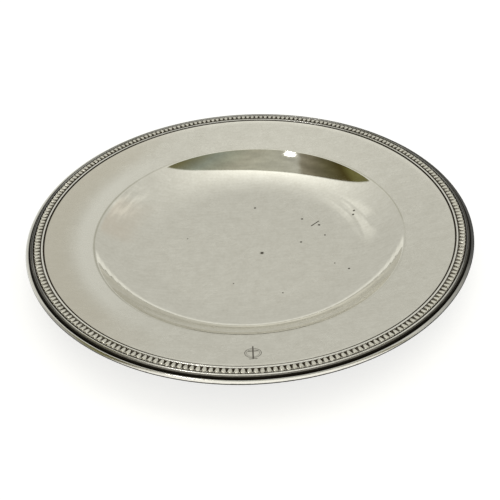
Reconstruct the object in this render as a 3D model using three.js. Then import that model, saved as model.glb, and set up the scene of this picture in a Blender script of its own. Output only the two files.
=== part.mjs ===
// A large round silver plate: a raised sheet with a flat floor, a curved well and a wide sloping border,
// edged with soldered mouldings: two plain fillets, a band of small leaves between them, a cove and an edge reed.
// Millimetres, +Z up. The origin is the centre of the underside, on the surface that the plate stands on.

import * as THREE from 'three';

// Driving dimensions
const PLATE_RADIUS = 150;        // over the edge reed
const SHEET = 1.0;               // gauge of the sheet
const WELL_RADIUS = 105.2;       // where the border turns down into the well
const WELL_DEPTH = 16;           // from that turn down to the floor
const WALL_ANGLE = 42;           // degrees, slope of the well wall at its top
const BORDER_RADIUS = 138;       // outer end of the sloping border
const BORDER_RISE = 7.95;        // height that the border climbs
const REED_RADIUS = 1.4;         // half the thickness of the edge wire
const LEAF_COUNT = 250;          // leaves all the way round
const STRIP_COUNT = 10;          // lengths that the leaf band is made in
const RING_SEGMENTS = 72;        // flats round each turned piece
const WALL_STEPS = 5;            // flats down the well wall

// Heights and radii that follow from them
const radians = THREE.MathUtils.degToRad;
const wallAngle = radians(WALL_ANGLE);
const wallRadius = WELL_DEPTH / (1 - Math.cos(wallAngle));
const floorRadius = WELL_RADIUS - wallRadius * Math.sin(wallAngle);
const floorTop = SHEET;
const wellTop = floorTop + WELL_DEPTH;
const seatTop = wellTop + BORDER_RISE;
const reedCentre = PLATE_RADIUS - REED_RADIUS;
const reedHeight = seatTop - 1.6;
const seatRadius = reedCentre - REED_RADIUS - 0.05;

// Radial places of the mouldings on the seat
const INNER_FILLET = { from: 138.5, to: 139.9, height: 0.7 };
const LEAF_BAND = { from: 140.4, to: 144.3, inner: 1.0, outer: 1.35, valley: 0.45 };
const OUTER_FILLET = { from: 144.7, to: 146.0, height: 1.35 };
const COVE = { from: 146.05, to: 147.35, height: 1.0, foot: 0.15 };

const FINISH = {
  sheet: { color: 0xd9d5c6, roughness: 0.22, metalness: 1 },
  wire: { color: 0xdedbcf, roughness: 0.16, metalness: 1 },
  leaf: { color: 0xb9b4a1, roughness: 0.34, metalness: 1 },
};

const plate = new THREE.Group();

function addPiece(name, geometry, finish) {
  const piece = new THREE.Mesh(geometry, new THREE.MeshStandardMaterial(finish));
  piece.name = name;
  plate.add(piece);
}

// Turns a closed outline of [radius, height] points about the Z axis.
function turned(outline, closed) {
  const points = outline.map(([radius, height]) => new THREE.Vector2(radius, height));
  if (closed) points.push(points[0].clone());
  return new THREE.LatheGeometry(points, RING_SEGMENTS).rotateX(Math.PI / 2);
}

// Point on the curved wall of the well at a slope, offset below the upper surface along the wall's normal.
function wallPoint(slope, offset) {
  const radius = wallRadius + offset;
  return [floorRadius + radius * Math.sin(slope), floorTop + wallRadius - radius * Math.cos(slope)];
}

// The dish: underside from the centre outwards, round the edge, then the upper surface back to the centre.
function dishBody() {
  const borderSlope = Math.atan2(BORDER_RISE, BORDER_RADIUS - WELL_RADIUS);
  const turnDrop = SHEET / Math.cos(borderSlope);
  const underTurn = WELL_RADIUS + SHEET * Math.sin((wallAngle + borderSlope) / 2);
  const underside = [[0, 0]];
  for (let step = 0; step <= WALL_STEPS; step += 1) {
    const slope = (wallAngle * step) / WALL_STEPS;
    if (step < WALL_STEPS) underside.push(wallPoint(slope, SHEET));
  }
  underside.push([underTurn, wellTop + (underTurn - WELL_RADIUS) * Math.tan(borderSlope) - turnDrop]);
  underside.push([BORDER_RADIUS, seatTop - turnDrop]);
  underside.push([seatRadius, seatTop - SHEET]);

  const upper = [[seatRadius, seatTop], [BORDER_RADIUS, seatTop]];
  for (let step = WALL_STEPS; step >= 0; step -= 1) {
    upper.push(wallPoint((wallAngle * step) / WALL_STEPS, 0));
  }
  upper.push([0, floorTop]);
  return turned([...underside, ...upper], false);
}

// A half-round wire lying flat on the seat.
function halfRoundWire({ from, to, height }) {
  const middle = (from + to) / 2;
  const outline = [[from, seatTop], [to, seatTop]];
  for (const angle of [40, 90, 140]) {
    const across = Math.cos(radians(angle)) * (to - from) * 0.5;
    outline.push([middle + across, seatTop + height * Math.sin(radians(angle))]);
  }
  return turned(outline, true);
}

// The cove: upright on its inner side, hollowed on its outer side down to a thin foot.
function coveMoulding() {
  const { from, to, height, foot } = COVE;
  const outline = [[from, seatTop], [to, seatTop], [to, seatTop + foot]];
  for (const angle of [30, 60]) {
    const across = (to - from - 0.2) * Math.sin(radians(angle));
    const rise = (height - foot) * (1 - Math.cos(radians(angle)));
    outline.push([to - across, seatTop + foot + rise]);
  }
  outline.push([from, seatTop + height]);
  return turned(outline, true);
}

// The reed is a round wire. Its inner flat faces the cut edge of the sheet.
function edgeReed() {
  const sides = 10;
  const outline = [];
  for (let side = 0; side < sides; side += 1) {
    const angle = (2 * Math.PI * side) / sides;
    outline.push([reedCentre + REED_RADIUS * Math.cos(angle), reedHeight + REED_RADIUS * Math.sin(angle)]);
  }
  return turned(outline, true);
}

// One length of the leaf band. Every leaf is a ridge that rises outwards, with a valley on each side.
// The top has three rows of points: inner end, widest part, outer tip. The underside has two.
function leafStrip(index) {
  const leaves = LEAF_COUNT / STRIP_COUNT;
  const columns = 2 * leaves + 1;
  const pitch = (2 * Math.PI) / LEAF_COUNT;
  const trim = 0.02 * pitch;
  const { from, to, inner, outer, valley } = LEAF_BAND;
  const middle = from + 0.45 * (to - from);
  const positions = [];
  for (let column = 0; column < columns; column += 1) {
    const isValley = column % 2 === 0;
    let angle = (index * leaves + column / 2) * pitch;
    if (column === 0) angle += trim;
    if (column === columns - 1) angle -= trim;
    const rows = [
      [from, 0],
      [from, isValley ? valley : inner * 0.8],
      [middle, isValley ? valley : inner * 1.1],
      [to, isValley ? valley * 1.4 : outer],
      [to, 0],
    ];
    for (const [radius, height] of rows) {
      positions.push(radius * Math.cos(angle), radius * Math.sin(angle), seatTop + height);
    }
  }
  const rowCount = 5;
  const faces = [];
  for (let column = 0; column < columns - 1; column += 1) {
    for (let row = 0; row < rowCount; row += 1) {
      const a = column * rowCount + row;
      const b = column * rowCount + ((row + 1) % rowCount);
      faces.push(a, b, b + rowCount, a, b + rowCount, a + rowCount);
    }
  }
  const last = (columns - 1) * rowCount;
  for (let row = 1; row < rowCount - 1; row += 1) {
    faces.push(0, row + 1, row);
    faces.push(last, last + row, last + row + 1);
  }
  const geometry = new THREE.BufferGeometry();
  geometry.setAttribute('position', new THREE.Float32BufferAttribute(positions, 3));
  geometry.setIndex(faces);
  return geometry;
}

addPiece('dish_body', dishBody(), FINISH.sheet);
addPiece('inner_fillet', halfRoundWire(INNER_FILLET), FINISH.wire);
for (let index = 0; index < STRIP_COUNT; index += 1) {
  addPiece(`leaf_strip_${String(index + 1).padStart(2, '0')}`, leafStrip(index), FINISH.leaf);
}
addPiece('outer_fillet', halfRoundWire(OUTER_FILLET), FINISH.wire);
addPiece('cove_moulding', coveMoulding(), FINISH.wire);
addPiece('edge_reed', edgeReed(), FINISH.wire);

export default plate;
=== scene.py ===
import math
import random

import bpy
import numpy as np
from mathutils import Matrix, Vector


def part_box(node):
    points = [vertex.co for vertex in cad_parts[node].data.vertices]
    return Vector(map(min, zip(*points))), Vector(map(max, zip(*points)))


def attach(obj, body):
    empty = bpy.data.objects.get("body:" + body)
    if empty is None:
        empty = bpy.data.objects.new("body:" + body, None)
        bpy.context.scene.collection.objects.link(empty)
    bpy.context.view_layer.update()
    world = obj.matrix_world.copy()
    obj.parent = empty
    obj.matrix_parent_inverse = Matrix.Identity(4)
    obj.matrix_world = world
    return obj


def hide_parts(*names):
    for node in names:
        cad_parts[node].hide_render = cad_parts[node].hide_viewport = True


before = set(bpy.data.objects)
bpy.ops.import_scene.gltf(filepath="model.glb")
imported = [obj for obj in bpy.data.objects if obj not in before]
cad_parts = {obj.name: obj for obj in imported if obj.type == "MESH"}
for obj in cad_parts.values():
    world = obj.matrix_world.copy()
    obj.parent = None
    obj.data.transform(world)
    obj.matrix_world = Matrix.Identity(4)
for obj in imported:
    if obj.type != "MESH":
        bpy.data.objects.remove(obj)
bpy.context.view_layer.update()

# ----------------------------------------------------------------------------------------------------
# The viewpoint: someone standing over the plate looks down at it from the front, at about 38 degrees, a
# little over half a metre away, with the head tilted so that the plate's right side stands higher.
dish_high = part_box("dish_body")[1]
view_pitch = math.radians(37.77)
view_tilt = math.radians(2.86)
view_distance = 0.5719
view_lift = 0.02057                      # how far the rim's middle stands above the middle of the view
view_lens = 60.4                         # in millimetres, on a sensor 36 mm wide
view_target = Vector((0, 0, dish_high.z))

view_forward = Vector((0, math.cos(view_pitch), -math.sin(view_pitch)))
view_up = Vector((0, math.sin(view_pitch), math.cos(view_pitch)))
view_right = Vector((1, 0, 0))
tilted_right = view_right * math.cos(view_tilt) - view_up * math.sin(view_tilt)
tilted_up = view_up * math.cos(view_tilt) + view_right * math.sin(view_tilt)
camera = bpy.data.objects.new("viewpoint", bpy.data.cameras.new("viewpoint"))
bpy.context.scene.collection.objects.link(camera)
facing = Matrix((tilted_right, tilted_up, -view_forward)).transposed().to_4x4()
eye = view_target - view_forward * view_distance - view_up * view_lift
camera.matrix_world = Matrix.Translation(eye) @ facing
camera.data.sensor_width = 36
camera.data.lens = view_lens
camera.data.clip_start = 0.01
bpy.context.scene.camera = camera
bpy.context.scene.view_settings.view_transform = "Standard"


# ----------------------------------------------------------------------------------------------------
# The studio: a pale table in a soft tent. The tent is bright behind and above the plate, and open, so darker,
# over the viewer's head, where one small lamp hangs. Silver shows little more than what it mirrors.
class Socket:
    """An output of a shader node. Sums and products of sockets add Math nodes to the same tree."""

    def __init__(self, tree, output=None):
        self.tree = tree
        self.output = output

    def node(self, kind, inputs=(), settings=(), output=0):
        """Adds a node of any kind: its settings first, then the values or links of its inputs."""
        made = self.tree.nodes.new(kind)
        for name, value in dict(settings).items():
            if name == "stops":
                elements = made.color_ramp.elements
                elements[0].position, elements[0].color = value[0]
                elements[1].position, elements[1].color = value[-1]
                for position, colour in value[1:-1]:
                    elements.new(position).color = colour
            else:
                setattr(made, name, value)
        for name, value in dict(inputs).items():
            if isinstance(value, Socket):
                self.tree.links.new(value.output, made.inputs[name])
            else:
                made.inputs[name].default_value = value
        return Socket(self.tree, made.outputs[output] if made.outputs else None)

    def math(self, operation, *operands):
        """A Math node with this value as its first input."""
        return self.node("ShaderNodeMath", enumerate((self, *operands)), {"operation": operation})

    def __add__(self, other):
        return self.math("ADD", other)

    def __sub__(self, other):
        return self.math("SUBTRACT", other)

    def __mul__(self, other):
        return self.math("MULTIPLY", other)

    def __rsub__(self, other):
        return (self * -1) + other

    def __abs__(self):
        return self.math("ABSOLUTE")

    __radd__ = __add__
    __rmul__ = __mul__

    def below(self, edge, softness):
        """1 where this value is under the edge and 0 over it, with a soft step between them."""
        step = {"Value": self, "From Min": edge - softness, "From Max": edge + softness,
                "To Min": 1, "To Max": 0}
        return self.node("ShaderNodeMapRange", step, {"interpolation_type": "SMOOTHSTEP"})

    def above(self, edge, softness):
        """0 where this value is under the edge and 1 over it, with a soft step between them."""
        return 1 - self.below(edge, softness)

    def ramp(self, *stops):
        """A colour from a row of (value, colour) stops."""
        return self.node("ShaderNodeValToRGB", {"Fac": self}, {"stops": stops})

    def tint(self, at_zero, at_one):
        """A colour between two, by this value."""
        return self.node("ShaderNodeMix", {0: self, 6: at_zero, 7: at_one}, {"data_type": "RGBA"}, output=2)

    def vector(self, operation, other=(0, 0, 0), output=0):
        """A Vector Math node with this vector as its first input."""
        return self.node("ShaderNodeVectorMath", {0: self, 1: other}, {"operation": operation}, output)

    def scaled(self, factor):
        """A vector or colour, brighter or darker by a number or a socket."""
        return self.node("ShaderNodeVectorMath", {0: self, "Scale": factor}, {"operation": "SCALE"})

    def swung(self, angle):
        """A place, turned about the plate's axis."""
        turn = {"Vector": self, "Angle": angle}
        return self.node("ShaderNodeVectorRotate", turn, {"rotation_type": "Z_AXIS"})

    def noise(self, scale, detail=2):
        """An uneven value from 0 to 1, about 0.5 on the whole."""
        return self.node("ShaderNodeTexNoise", {"Vector": self, "Scale": scale, "Detail": detail})

    def parts(self):
        """The X, Y and Z of a vector."""
        first = self.node("ShaderNodeSeparateXYZ", {0: self})
        return [Socket(self.tree, output) for output in first.output.node.outputs]


tent_side = (0.325, 0.940, -0.106)       # the half of the room that this points into is the bright tent
tent_cloth = (0.605, 0.600, 0.545, 1)
tent_glow = (0.80, 0.80, 0.74, 1)        # what a full share of lamplight adds to the cloth
fold_right = (0.644, 0.422, 0.638)       # where folds of the cloth catch the lamplight
fold_left = (-0.300, 0.665, 0.684)
fold_glow = 0.21
bench_left = (0.24, 0.24, 0.235, 1)      # what silver sees below the table's level
bench_right = (0.030, 0.031, 0.036, 1)
bench_behind = (0.72, 0.72, 0.70, 1)
far_wall = (1.12, 1.10, 1.02, 1)         # behind the viewer, bright again
backdrop = (0.97, 0.97, 0.965, 1)
lamp_towards = (-0.346, -0.259, 0.902)
lamp_colour = (1.0, 0.98, 0.93)
table_half = 3

tent = bpy.data.worlds.new("tent")
bpy.context.scene.world = tent
tent.use_nodes = True
tent.node_tree.nodes.clear()
air = Socket(tent.node_tree)
looking = air.node("ShaderNodeTexCoord", output=0)
towards_tent = looking.vector("DOT_PRODUCT", tent_side, output=1)
sideways, away, upwards = looking.parts()
mottle = looking.noise(7.0, 4)

# The cloth is brighter towards the viewer and in the middle. It has a light band low down behind the plate,
# and two folds that catch the light in streaks.
overhead = (0.85 - away).math("MAXIMUM", 0).math("POWER", 1.9) * 1.9
middle = ((sideways + 0.2) * (sideways + 0.2) * 3.2 + 1).math("POWER", -2)
skyline = upwards.below(0.14, 0.035) * away.above(0.3, 0.3) * 0.33
streaky = looking.vector("MULTIPLY", (9, 3, 3)).noise(1.5, 4).above(0.47, 0.12)
folds = looking.vector("DOT_PRODUCT", fold_right, output=1).above(0.978, 0.018)
folds = folds + looking.vector("DOT_PRODUCT", fold_left, output=1).above(0.984, 0.012)
lamplight = overhead * middle + skyline + folds * streaky * fold_glow
cloth = air.node("ShaderNodeMix", {0: lamplight, 6: tent_cloth, 7: tent_glow},
                 {"data_type": "RGBA", "blend_type": "ADD", "clamp_factor": False}, output=2)

# The opening's colours, from the room's left end to its right: grey, olive, brown, pale in the middle,
# then grey and olive again.
opening = (sideways * 0.5 - away * 0.175 + 0.5 + (mottle - 0.5) * 0.04).ramp(
    (0.025, (0.400, 0.390, 0.360, 1)), (0.065, (0.190, 0.180, 0.080, 1)), (0.135, (0.160, 0.150, 0.050, 1)),
    (0.170, (0.070, 0.056, 0.016, 1)), (0.232, (0.120, 0.108, 0.056, 1)),
    (0.293, (0.215, 0.195, 0.135, 1)), (0.327, (0.250, 0.230, 0.170, 1)), (0.343, (0.440, 0.435, 0.370, 1)),
    (0.455, (0.470, 0.465, 0.380, 1)), (0.533, (0.430, 0.420, 0.335, 1)), (0.605, (0.340, 0.350, 0.275, 1)),
    (0.670, (0.265, 0.288, 0.235, 1)), (0.725, (0.215, 0.220, 0.150, 1)), (0.775, (0.170, 0.160, 0.080, 1)))
opening = opening.scaled(mottle.above(0.5, 0.25) * 0.30 + 0.85)
opening = away.above(-0.43, 0.04).tint(far_wall, opening)
room = towards_tent.above(0.0, 0.010).tint(opening, cloth)

# Below the table's level is the bench: dark on the right, and bright only behind the plate.
bench = sideways.above(0.0, 0.35).tint(bench_left, bench_right)
bench = (away.above(0.35, 0.2) * sideways.below(0.1, 0.25)).tint(bench, bench_behind)
horizon = away.below(-0.5, 0.1) * 0.27
room = (upwards + horizon).above(-0.01, 0.03).tint(bench, room)
direct = air.node("ShaderNodeLightPath", output=0)
light = air.node("ShaderNodeBackground", {"Color": direct.tint(room, backdrop), "Strength": 1.0})
air.node("ShaderNodeOutputWorld", {"Surface": light})


def add_sun(name, towards, strength, spread):
    """A lamp far away in the direction given, as wide as the spread in degrees."""
    sun = bpy.data.lights.new(name, "SUN")
    sun.energy = strength
    sun.angle = math.radians(spread)
    holder = bpy.data.objects.new(name, sun)
    holder.rotation_euler = Vector(towards).to_track_quat("Z", "Y").to_euler()
    bpy.context.scene.collection.objects.link(holder)
    return holder


lamp = add_sun("lamp_glint", lamp_towards, 0.16, 2.6)
lamp.data.color = lamp_colour
lamp.visible_diffuse = False
lamp_halo = add_sun("lamp_halo", lamp_towards, 0.03, 5)
lamp_halo.visible_diffuse = False
table_light = add_sun("table_light", (0.05, 0.15, 1.0), 0.8, 80)
table_light.visible_glossy = False

table = bpy.data.objects.new("table", bpy.data.meshes.new("table"))
table_corners = [(x * table_half, y * table_half, 0) for x, y in ((-1, -1), (1, -1), (1, 1), (-1, 1))]
table.data.from_pydata(table_corners, [], [(0, 1, 2, 3)])
bpy.context.scene.collection.objects.link(table)
paper = bpy.data.materials.new("pale_table")
paper.use_nodes = True
paper.node_tree.nodes.clear()
pulp = Socket(paper.node_tree)
fibre = pulp.node("ShaderNodeTexCoord", output=3).noise(60, 3)
sheet_of_paper = pulp.node("ShaderNodeBsdfPrincipled", {
    "Base Color": fibre.tint((0.40, 0.40, 0.397, 1), (0.42, 0.42, 0.417, 1)), "Roughness": 0.9,
    "Emission Color": (1, 1, 0.995, 1), "Emission Strength": 0.70})
pulp.node("ShaderNodeOutputMaterial", {"Surface": sheet_of_paper})
table.data.materials.append(paper)
table.visible_glossy = False             # the tent's dark skirt, not the bright table, shows in the silver


# ----------------------------------------------------------------------------------------------------
# The dish: one disc of sheet silver, raised to a flat floor, a curved wall and a sloping border, planished
# and polished. Use has covered it with hairlines, a few pits and a slash, and its wall has kept the best
# polish. Solder has run along its cut edge, where the reed is fixed.
seat_top = dish_high.z * 1000            # from here on, sizes are in millimetres
seat_radius = dish_high.x * 1000
sheet_gauge = 1.0
ring_flats = 500                         # straight steps round each ring
well_radius = 105.2
well_depth = 16
wall_slope = math.radians(42)
border_radius = 138
lip_width = 4                            # the border's outer end turns up a little, against the mouldings
lip_rise = 0.27
groove_depth = 0.35
groove_shade_halfwidth = 0.42                       # half the width of the painted shade in the groove
solder_run = 0.23                        # how far the solder stands out below the sheet's cut edge
hammer_wave = 0.045                      # height of the broad waves, and below it of the narrow ones
planish_wave = 0.02
turning_ridge = 0.006
ridge_spacing = 2.3
device_place = (-1.2, -124.2, 0)         # the engraving's middle, on the front of the border
dirt_and_painted_shade = (0.045, 0.032, 0.020, 1)     # dirt and tarnish in pits and cuts, and painted shade in the groove, the seams and under the mouldings
hazy_silver = (0.730, 0.712, 0.658, 1)
clear_silver = (0.880, 0.868, 0.820, 1)

wall_bend = well_depth / (1 - math.cos(wall_slope))
floor_radius = well_radius - wall_bend * math.sin(wall_slope)
well_top = sheet_gauge + well_depth
border_end = border_radius - 0.35
border_climb = (seat_top - lip_rise - well_top) / (border_end - well_radius)


def arc(centre, radius, start, end, steps):
    """Points on an arc, from one angle to another in degrees, both ends included."""
    angles = [math.radians(start + (end - start) * step / steps) for step in range(steps + 1)]
    return [(centre[0] + radius * math.cos(a), centre[1] + radius * math.sin(a)) for a in angles]


def eased(before, corner, after, steps=6):
    """A rounded corner between two points."""
    points = []
    for step in range(steps + 1):
        t = step / steps
        weights = ((1 - t) ** 2, 2 * t * (1 - t), t ** 2)
        points.append(tuple(sum(w * p[i] for w, p in zip(weights, (before, corner, after))) for i in (0, 1)))
    return points


def finished(name, vertices, faces, sharp_over=30):
    """Makes a smooth-shaded object from millimetre points, with edges kept sharp over an angle in degrees."""
    mesh = bpy.data.meshes.new(name)
    mesh.from_pydata((np.asarray(vertices) * 0.001).tolist(), [], faces)
    mesh.shade_smooth()
    mesh.set_sharp_from_angle(angle=math.radians(sharp_over))
    piece = bpy.data.objects.new(name, mesh)
    bpy.context.scene.collection.objects.link(piece)
    return piece


def turned(name, outline, unevenness=None):
    """Turns a closed outline of (radius, height) points about the plate's axis, with the solid on the
    outline's left. A point on the axis becomes one vertex."""
    vertices = []
    rings = []
    for radius, height in outline:
        flats = 1 if radius == 0 else ring_flats
        rings.append([len(vertices) + flat % flats for flat in range(ring_flats)])
        for flat in range(flats):
            angle = 2 * math.pi * flat / ring_flats
            vertices.append((radius * math.cos(angle), radius * math.sin(angle), height))
    faces = []
    for ring, following in zip(rings, rings[1:] + rings[:1]):
        for flat in range(ring_flats):
            after = (flat + 1) % ring_flats
            corners = list(dict.fromkeys([ring[after], following[after], following[flat], ring[flat]]))
            if len(corners) > 2:
                faces.append(corners)
    vertices = np.array(vertices)
    if unevenness:
        vertices[:, 2] += unevenness(vertices[:, 0], vertices[:, 1])
    return finished(name, vertices, faces)


def border_height(radius):
    """Height of the border's polished face."""
    lip = max(0, 1 - (border_end - radius) / lip_width) ** 2 * lip_rise
    return well_top + (radius - well_radius) * border_climb + lip


def dish_outline():
    """The underside outwards, the cut edge with its run of solder, then the polished face to the centre."""
    slope = math.degrees(wall_slope)
    wall_centre = (floor_radius, sheet_gauge + wall_bend)
    border_slope = math.atan(border_climb)
    under_turn = well_radius + sheet_gauge * math.sin((wall_slope + border_slope) / 2)
    under = [(0, 0), (floor_radius * 0.5, 0)] + arc(wall_centre, wall_bend + sheet_gauge, -90, slope - 92, 24)
    for step in range(9):
        radius = under_turn + (border_radius - under_turn) * step / 8
        face = well_top + (radius - well_radius) * border_climb
        under.append((radius, face - sheet_gauge / math.cos(border_slope)))
    seat_foot = seat_top - sheet_gauge
    edge = [(seat_radius - 0.3, seat_foot), (seat_radius + solder_run, seat_foot),
            (seat_radius + solder_run / 3, seat_foot + 0.4), (seat_radius, seat_top)]
    groove_floor = seat_top - groove_depth
    groove = [(border_radius + 0.45, seat_top), (border_radius + 0.35, groove_floor),
              (border_radius - 0.2, groove_floor), (border_end, seat_top - 0.12)]
    steps = 48
    radii = [border_end - 0.1 + (well_radius + 0.6 - border_end) * step / steps for step in range(steps + 1)]
    border = [(radius, border_height(radius)) for radius in radii]
    wall = arc(wall_centre, wall_bend, slope - 90.6, -90, 96)
    turn = eased(border[-1], (well_radius, well_top), wall[0])[1:-1]
    floor = [(floor_radius * share, sheet_gauge) for share in (0.8, 0.6, 0.4, 0.2, 0)]
    return under + edge + groove + border + turn + wall + floor


def hand_raised(x, y):
    """Height of the small waves that the hammer and a long life have left in the sheet. The floor also
    rises a little towards the wall, and the wall's front keeps the fine ridges of its turning."""
    radius = np.hypot(x, y)
    waves = hammer_wave * np.sin(x / 17 + 1.3) * np.sin(y / 21 + 0.4)
    waves += planish_wave * np.sin((x + y) / 9.5) * np.sin((x - y) / 12 + 2)
    waves *= np.clip((radius - floor_radius) / 25, 0, 1) * np.clip((border_end - radius) / 20, 0, 1)
    dishing = np.interp(radius, (42, 50, 60, 70, 76, 105, 137), (0, 0.03, 0.17, 0.4, 0.5, 0.5, 0))
    turning = turning_ridge * np.sin(radius * 2 * math.pi / ridge_spacing) * np.clip((30 - y) / 60, 0, 1)
    on_wall = np.clip((radius - 92) / 6, 0, 1) * np.clip((104.5 - radius) / 2, 0, 1)
    return waves + dishing + turning * on_wall


def silver_shader(name):
    """An empty metal material, with the place on the plate in millimetres and the distance from its axis."""
    metal = bpy.data.materials.new(name)
    metal.use_nodes = True
    metal.node_tree.nodes.clear()
    place = Socket(metal.node_tree).node("ShaderNodeTexCoord", output=3)
    place = place.vector("MULTIPLY", (1000, 1000, 1000))
    radius = place.vector("MULTIPLY", (1, 1, 0)).vector("LENGTH", output=1)
    return metal, place, radius


def plate_with(metal, place, colour, roughness, relief):
    """Finishes a silver material from its colour, its roughness and its fine relief in tenths of a
    millimetre."""
    bump = place.node("ShaderNodeBump", {"Height": relief, "Strength": 1.0, "Distance": 0.0001})
    surface = place.node("ShaderNodeBsdfPrincipled", {
        "Base Color": colour, "Metallic": 1.0, "Roughness": roughness, "Normal": bump})
    place.node("ShaderNodeOutputMaterial", {"Surface": surface})
    return metal


def hairlines(place, angle, length, spacing, width):
    """Fine long scratches that run one way: 1 on a scratch, 0 off it."""
    along = place.swung(angle).vector("MULTIPLY", (1 / length, 1 / spacing, 0))
    along = along.vector("ADD", (angle * 7, angle * 3, 0))
    return abs(along.noise(1.0, 1) - 0.5).below(width, width * 0.8)


def pit(place, x, y, size):
    """A small round dent at a place on the floor: 1 in it, 0 off it."""
    return place.vector("MULTIPLY", (1, 1, 0)).vector("DISTANCE", (x, y, 0), output=1).below(size, size * 0.6)


def slit(place, x, y, angle, length, width):
    """A straight scratch through a place on the floor, turned by an angle: 1 in it, 0 off it."""
    along, across = place.vector("SUBTRACT", (x, y, 0)).swung(-angle).parts()[:2]
    return abs(along).below(length / 2, 0.6) * abs(across).below(width / 2, width / 3)


def engraved_device(place):
    """The engraver's device on the border, a plain cross in a double ring: 1 on a cut line, 0 off it."""
    x, y = place.vector("SUBTRACT", device_place).parts()[:2]
    from_centre = (x * x + (y + 0.6) * (y + 0.6)).math("SQRT")
    ring = abs(from_centre - 4.7).below(0.22, 0.12)
    ring = ring.math("MAXIMUM", abs(from_centre - 3.7).below(0.12, 0.1))
    upright = abs(x).below(0.42, 0.12) * abs(y).below(6.4, 0.12)
    arm = abs(y - 1.4).below(0.42, 0.12) * abs(x).below(3.0, 0.12)
    foot = abs(y + 6.4).below(0.3, 0.12) * abs(x).below(2.4, 0.12)
    return ring.math("MAXIMUM", upright).math("MAXIMUM", arm).math("MAXIMUM", foot)


def sheet_silver():
    """Polished sheet: bright and sharp on the wall, hazed by hairlines on the floor and the border."""
    metal, place, radius = silver_shader("sheet_silver")
    x, y = place.parts()[:2]
    worn = radius.below(floor_radius + 5, 9) + radius.above(well_radius + 0.3, 0.6)

    lines = hairlines(place, 0.15, 30, 0.9, 0.012)
    for angle, length, spacing in ((1.1, 22, 0.7), (2.3, 26, 1.1), (-0.5, 40, 1.6)):
        lines = lines + hairlines(place, angle, length, spacing, 0.010)
    patchy = place.noise(0.045, 3)
    lines = lines * patchy.above(0.45, 0.2) * worn
    grain = place.vector("MULTIPLY", (0.25, 1.6, 1)).noise(1.0, 4)
    haze = place.noise(0.13, 4)
    fine = place.vector("MULTIPLY", (0.05, 0.55, 0)).noise(1.0, 3)

    # The dark places: dirt in the slash, the pits and the engraving, and painted shade in the groove, along
    # the seams and on the sheet's edge under the mouldings.
    marks = slit(place, 47.9, 24.7, 0.73, 8.4, 0.8)
    for pit_x, pit_y, size in (
            (5.3, 48, 0.80), (39, 31.1, 0.80), (50.6, 22.7, 0.87), (77, 33.1, 0.73), (75.9, 29.3, 0.73),
            (53.6, 10.3, 0.65), (8.2, -6.7, 1.23), (36.1, 3.6, 0.73), (65.7, -29.6, 0.73),
            (-44, 14, 0.44), (57, -22, 0.51), (-12, -38, 0.44), (20, -50, 0.51)):
        marks = marks.math("MAXIMUM", pit(place, pit_x, pit_y, size))
    # Painted shade: the groove, the two seams and the sheet's edge under the cove and reed are painted dark,
    # the groove more widely towards the back.
    wider_at_back = y.above(-20, 80) * 0.25
    groove = (abs(radius - border_radius - 0.05) - wider_at_back).below(groove_shade_halfwidth, 0.2)
    groove = groove + radius.above(seat_radius - 0.25, 0.1)
    for seam, width in ((140.03, 0.2), (144.45, 0.4)):
        groove = groove + abs(radius - seam).below(width, 0.15)
    cuts = engraved_device(place) * 0.85
    dark = marks.math("MAXIMUM", cuts).math("MAXIMUM", groove)

    # Cloudy silver all over, with painted reflections paler and warmer by turns on the left, and painted
    # shade on the crease.
    cloudy = haze * 0.85 + fine * 0.6 + place.noise(0.5, 3) - 0.725
    surface_tone = cloudy.tint(hazy_silver, clear_silver)
    left = (x + 40 * (patchy - 0.5)).below(-75, 30)
    right = x.above(62, 20) * y.above(0, 10)
    # Painted reflection: a pale band on the left of the border, next to the wall.
    painted_left_sheen = left * radius.above(106.5, 1) * radius.below(118, 6)
    surface_tone = (painted_left_sheen * 0.8).tint(surface_tone, (0.93, 0.92, 0.875, 1))
    # Painted reflection: the outer part of the border's left side is warmer and darker.
    painted_left_reflection = left * radius.above(121, 8)
    surface_tone = (painted_left_reflection * 0.6).tint(surface_tone, (0.70, 0.655, 0.565, 1))
    # Painted reflection: a warm patch on the left of the wall.
    painted_wall_reflection = left * radius.above(84, 6) * radius.below(104, 1) * y.above(8, 6) * y.below(48, 8) * patchy
    surface_tone = (painted_wall_reflection * 0.8).tint(surface_tone, (0.80, 0.70, 0.60, 1))
    # Painted shade: a dark line along the crease at the wall's top, darker on the left and the right.
    painted_crease_shade = abs(radius - well_radius - 0.7).below(0.5, 0.5) * (left * 0.35 + right * 0.3 + 0.12)
    surface_tone = painted_crease_shade.tint(surface_tone, (0.32, 0.31, 0.22, 1))

    colour = dark.tint(surface_tone, dirt_and_painted_shade)
    roughness = worn * 0.12 + 0.03 + lines * 0.08 + haze * 0.04 + dark * 0.3
    relief = grain * 0.02 - lines * 0.05 - marks * 0.8 - cuts * 0.8
    return plate_with(metal, place, colour, roughness, relief)


dish = turned("raised_dish", dish_outline(), hand_raised)
dish.data.materials.append(sheet_silver())
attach(dish, "root")
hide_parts("dish_body")


# ----------------------------------------------------------------------------------------------------
# The inner fillet: a plain half-round silver wire, drawn, bent to a ring and soldered down along the outer
# side of the border's groove. Its foot is painted dark, as painted shade and partly tarnish, and its back is
# painted a little dark, as a painted reflection.
# Painted dark reflection and shade: the near-black colour painted on the wires' sides, backs and inner sides.
painted_dark_tone = (0.055, 0.056, 0.060, 1)
# Painted shade, partly tarnish: the colour of the wires low down.
shade_and_tarnish_colour = (0.050, 0.040, 0.028, 1)


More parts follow.
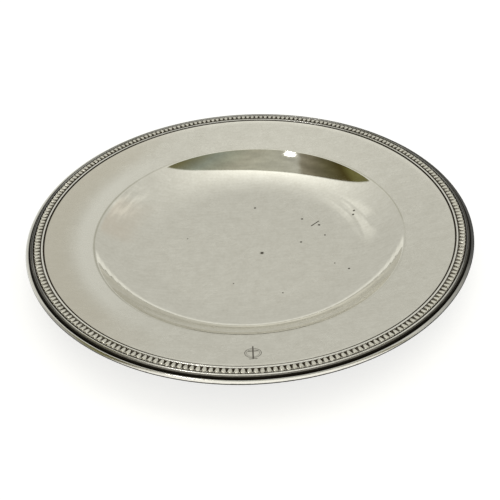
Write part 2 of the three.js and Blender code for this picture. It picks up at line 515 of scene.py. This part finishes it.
def half_round(low, high, rise, lean, steps=14):
    """Outline of a half-round wire between two radii, standing on the dish's seat. Its crown is worn down
    towards the outer side, there by the share of its height given as its lean."""
    middle = (low + high) / 2
    outline = [(low, seat_top), (high, seat_top)]
    for step in range(1, steps):
        angle = math.pi * step / steps
        across = math.cos(angle)
        height = rise * math.sin(angle) ** 0.7 * (1 - lean * (1 + across) / 2)
        outline.append((middle + (high - middle) * across, seat_top + height))
    return outline


def worn_wire(x, y):
    """Height of the slow waves in a hand-bent wire."""
    turn = np.arctan2(y, x)
    return -0.03 * (1 + np.sin(turn * 23 + 1) * np.sin(turn * 7))


def wire_silver(name, foot, crown, painted_dark_share):
    """Drawn wire: plain silver above the crown's height, painted dark below the foot's, as painted shade and
    partly tarnish. By the share that the function given makes of the place and the radius, it is painted
    near-black, as painted reflection and shade."""
    metal, place, radius = silver_shader(name)
    x, y, height = place.parts()
    spots = place.noise(0.6, 3)
    ridges = place.noise(2.5, 3)
    # Painted shade, partly tarnish: the wire is darker low down, by height.
    low_shade_and_tarnish = (height + (spots - 0.5) * 0.5).below((foot + crown) / 2, (crown - foot) / 2)
    surface_tone = spots.tint((0.84, 0.828, 0.79, 1), (0.94, 0.93, 0.90, 1))
    patchy = (place.noise(0.03, 2) - 0.5) * 60
    # Painted reflection and shade: near-black by place, by the share that the function given makes.
    surface_tone = painted_dark_share(x + patchy, y + patchy, radius).tint(surface_tone, painted_dark_tone)
    colour = low_shade_and_tarnish.tint(surface_tone, shade_and_tarnish_colour)
    roughness = low_shade_and_tarnish * 0.3 + spots * 0.08 + 0.17
    return plate_with(metal, place, colour, roughness, ridges * 0.08 - spots * 0.1)


def painted_dark_back(x, y, radius):
    """The back of the inner fillet is painted a little dark, as a painted reflection."""
    return y.above(105, 25) * 0.3


inner_outline = half_round(low=138.55, high=139.85, rise=0.7, lean=0.1)
inner_fillet = turned("inner_fillet_wire", inner_outline, worn_wire)
inner_silver = wire_silver("inner_fillet_silver", seat_top, seat_top + 0.45, painted_dark_back)
inner_fillet.data.materials.append(inner_silver)
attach(inner_fillet, "root")
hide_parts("inner_fillet")


# ----------------------------------------------------------------------------------------------------
# The leaf band: ten struck lengths of silver strip, soldered end to end. Each carries 25 small tongue
# leaves, narrow at the inner end and broad at the outer, with a sunk midrib and a dart between each two. The
# hollows are painted dark, as painted shade and partly tarnish.
leaves_per_length = 25
length_count = 10
leaf_low = 140.2
leaf_high = 144.2
leaf_columns = 22                        # points across one leaf
leaf_rows = 17                           # points along it
leaf_ground = 0.35                       # the strip's own thickness under the relief
leaf_width = 0.45                        # half the width at the broadest place, as a share of the pitch
dart_width = 0.17
dart_start = 0.62                        # how far along the leaf the dart begins
dart_height = 0.62
leaf_pitch = 2 * math.pi / (leaves_per_length * length_count)


def leaf_rise(across, along):
    """Height of the struck relief at a place on one leaf: across from -0.5 to 0.5, along from root to tip."""
    width = leaf_width * np.interp(along, (0, 0.10, 0.35, 0.75, 0.92, 1), (0.30, 0.62, 0.82, 1.0, 0.9, 0.6))
    crown = np.sqrt(np.clip(1 - (across / width) ** 2, 0, 1))
    top = np.interp(along, (0, 0.15, 0.5, 0.76, 0.87, 1), (0.80, 1.05, 1.22, 1.30, 1.12, 0.55))
    midrib = 0.13 * np.exp(-(across / 0.05) ** 2) * (1 - along)
    leaf = np.maximum(top - leaf_ground - midrib, 0) * crown
    spread = dart_width * np.clip((along - dart_start) / (1 - dart_start), 0, 1) + 0.001
    dart = dart_height * np.sqrt(np.clip(1 - ((0.5 - np.abs(across)) / spread) ** 2, 0, 1))
    return leaf_ground + np.maximum(leaf, dart)


def leaf_length(name, index, chance):
    """One struck length of leaves, lying on the seat."""
    columns = leaves_per_length * leaf_columns + 1
    place = np.linspace(0, leaves_per_length, columns)
    angles = (np.clip(place, 0.02, leaves_per_length - 0.02) + index * leaves_per_length) * leaf_pitch
    along = np.linspace(1, 0, leaf_rows)
    leaf = np.minimum(place.astype(int), leaves_per_length - 1)
    strike = np.array([chance.uniform(0.88, 1.0) for _ in range(leaves_per_length)])[leaf]
    rises = leaf_rise((place - leaf - 0.5)[:, None], along[None, :]) * strike[:, None]
    loop = leaf_rows + 2
    vertices = []
    for angle, column in zip(angles, rises):
        radii = [leaf_low, leaf_high, *(leaf_low + (leaf_high - leaf_low) * along)]
        heights = [0, 0, *column]
        vertices += [(r * math.cos(angle), r * math.sin(angle), seat_top + h) for r, h in zip(radii, heights)]
    faces = [list(range(loop)), [loop * columns - 1 - point for point in range(loop)]]
    for column in range(columns - 1):
        for point in range(loop):
            here = column * loop
            after = (point + 1) % loop
            faces.append([here + loop + point, here + loop + after, here + after, here + point])
    return finished(name, vertices, faces, sharp_over=50)


def leaf_silver():
    """Struck silver, painted dark low down in the hollows, as painted shade and partly tarnish, and smoother
    on the crowns.
    """
    metal, place = silver_shader("leaf_silver")[:2]
    height = place.parts()[2]
    spots = place.noise(0.9, 3)
    # Painted shade, partly tarnish: everything low on the strip is painted dark.
    painted_dark_hollow = (height + (spots - 0.5) * 0.6).below(seat_top + 0.74, 0.30)
    surface_tone = spots.tint((0.70, 0.68, 0.61, 1), (0.90, 0.885, 0.83, 1))
    colour = painted_dark_hollow.tint(surface_tone, (0.075, 0.058, 0.036, 1))
    roughness = painted_dark_hollow * 0.3 + spots * 0.12 + 0.16
    return plate_with(metal, place, colour, roughness, place.noise(3.5, 3) * 0.35)


struck = leaf_silver()
strike_chance = random.Random(25)
for index in range(length_count):
    leaves = leaf_length(f"leaf_length_{index + 1:02d}", index, strike_chance)
    leaves.data.materials.append(struck)
    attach(leaves, "root")
    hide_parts(f"leaf_strip_{index + 1:02d}")


# ----------------------------------------------------------------------------------------------------
# The outer fillet: a second, taller half-round silver wire, soldered round the leaf band to close it on its
# outer side. It is the highest moulding. Its foot is painted dark, as painted shade and partly tarnish, and
# its sides and back are painted dark, as a painted reflection, leaving its front plain silver.
def painted_dark_sides_and_back(x, y, radius):
    """Painted dark reflection: the fillet's sides near-black and its back a little less; its front plain."""
    return (abs(x).above(122, 20) * 0.85).math("MAXIMUM", y.above(60, 30) * 0.55)


outer_outline = half_round(low=144.75, high=146.0, rise=1.35, lean=0.24)
outer_fillet = turned("outer_fillet_wire", outer_outline, worn_wire)
outer_silver = wire_silver("outer_fillet_silver", seat_top + 0.35, seat_top + 1.0, painted_dark_sides_and_back)
outer_fillet.data.materials.append(outer_silver)
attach(outer_fillet, "root")
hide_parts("outer_fillet")


# ----------------------------------------------------------------------------------------------------
# The cove: a hollow moulding drawn from silver strip and soldered between the outer fillet and the reed.
# Its hollow faces up and outwards. The whole moulding is painted dark grey, and near-black in the hollow, as
# painted shade and a painted dark reflection.
def cove_outline(low=146.05, high=147.35, rise=1.0, foot=0.15, steps=12):
    """Outline of the moulding: a flat base, and a quarter hollow between its foot and its top lip."""
    outline = [(low, seat_top), (high, seat_top), (high, seat_top + foot)]
    for step in range(1, steps):
        angle = math.pi / 2 * step / steps
        outline.append((high - (high - low - 0.2) * math.sin(angle),
                        seat_top + foot + (rise - foot) * (1 - math.cos(angle))))
    return outline + [(low + 0.2, seat_top + rise), (low, seat_top + rise)]


def cove_silver():
    """Drawn strip, painted nearly black in the hollow and dark grey at its two lips, as painted shade and a
    painted dark reflection.
    """
    metal, place, radius = silver_shader("cove_silver")
    spots = place.noise(0.8, 4)
    # Painted shade and dark reflection: the lips dark grey, the hollow near-black.
    painted_dark_hollow = abs(radius - 147.05 + (spots - 0.5) * 0.4).below(0.6, 0.25)
    surface_tone = spots.tint((0.16, 0.15, 0.13, 1), (0.38, 0.37, 0.34, 1))
    colour = painted_dark_hollow.tint(surface_tone, (0.020, 0.018, 0.014, 1))
    roughness = painted_dark_hollow * 0.25 + spots * 0.1 + 0.22
    return plate_with(metal, place, colour, roughness, spots * 0.15)


cove = turned("hollow_cove", cove_outline())
cove.data.materials.append(cove_silver())
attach(cove, "root")
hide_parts("cove_moulding")


# ----------------------------------------------------------------------------------------------------
# The reed: a round drawn silver wire, soldered along the cut edge of the sheet, so that the rim is stiff and
# pleasant to hold. Its underside is painted dark, as painted shade and partly tarnish, its inner side as
# painted shade, and its right end as a painted reflection.
reed_radius = 1.4
reed_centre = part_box("edge_reed")[1].x * 1000 - reed_radius
reed_height = seat_top - 1.6
reed_worn = 0.13                         # share of the radius that polishing has taken off its outer shoulder
reed_shoulder = 46                       # where that shoulder is: degrees up from the wire's widest place


def reed_outline(steps=40):
    """Outline of the wire: round, with a nearly flat facet worn on the outer shoulder."""
    outline = []
    for step in range(steps):
        angle = 360 * step / steps
        turn = (angle - reed_shoulder + 180) % 360 - 180
        wear = math.cos(math.radians(max(-90, min(90, turn * 1.8)))) ** 2
        reach = reed_radius * (1 - reed_worn * wear)
        outline.append((reed_centre + reach * math.cos(math.radians(angle)),
                        reed_height + reach * math.sin(math.radians(angle))))
    return outline


def painted_dark_inside_and_right(x, y, radius):
    """Painted dark: the reed's inner side as painted shade, its right end as a painted reflection, and a
    little everywhere.
    """
    # Painted shade on the reed's inner side, next to the cove.
    inner_side = (radius + y * 0.005).below(147.85, 0.4) * 0.97
    # Painted dark reflection at the reed's right end.
    right_side = y.above(-85, 45) * x.above(60, 50) * 0.93
    return inner_side.math("MAXIMUM", right_side) * 0.9 + 0.1


reed = turned("rim_reed", reed_outline(), worn_wire)
reed_silver = wire_silver("reed_silver", reed_height - 0.15, reed_height + 0.45, painted_dark_inside_and_right)
reed.data.materials.append(reed_silver)
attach(reed, "root")
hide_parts("edge_reed")
